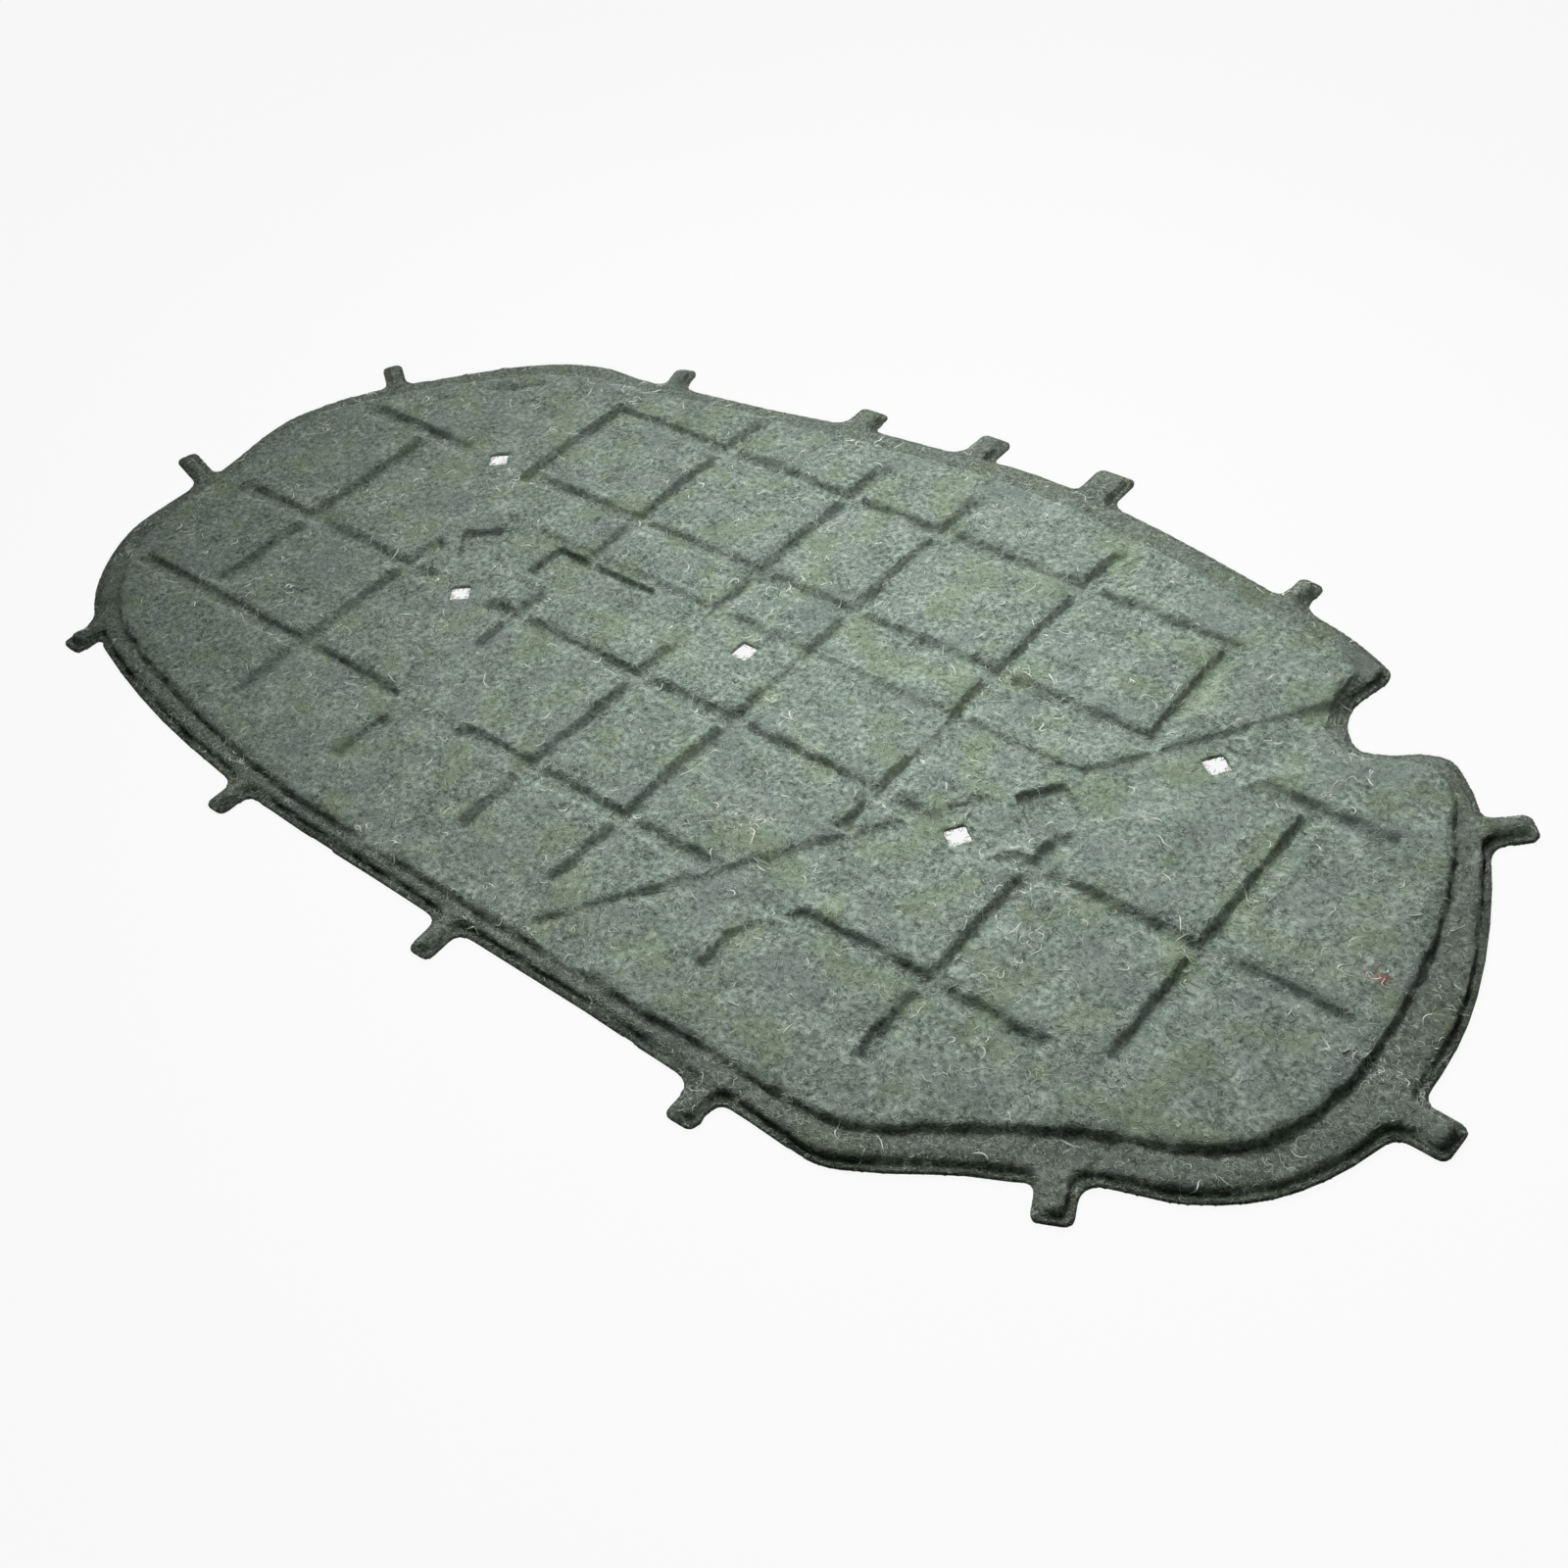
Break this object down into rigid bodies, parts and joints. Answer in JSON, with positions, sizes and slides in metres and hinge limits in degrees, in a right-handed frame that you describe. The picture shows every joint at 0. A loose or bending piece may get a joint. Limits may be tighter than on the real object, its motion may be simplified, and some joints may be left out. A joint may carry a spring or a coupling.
{
  "type": "hood insulation pad",
  "caption": "Moulded felt pad for the underside of a car hood: thin rim with push-in tabs, thick body with pressed grooves, clip bands and square clip holes.",
  "frame": {"origin": "middle of the pad's box, on the plain flat back that it rests on", "axes": "+X along the pad's long side, towards the end with the notch; +Y towards the long arched edge; +Z out of the pressed face"},
  "size_m": [1.2872, 0.7072, 0.015],
  "materials": {
    "felt": "matt"
  },
  "bodies": {
    "root": {"insulation_pad": "felt"}
  },
  "joints": []
}
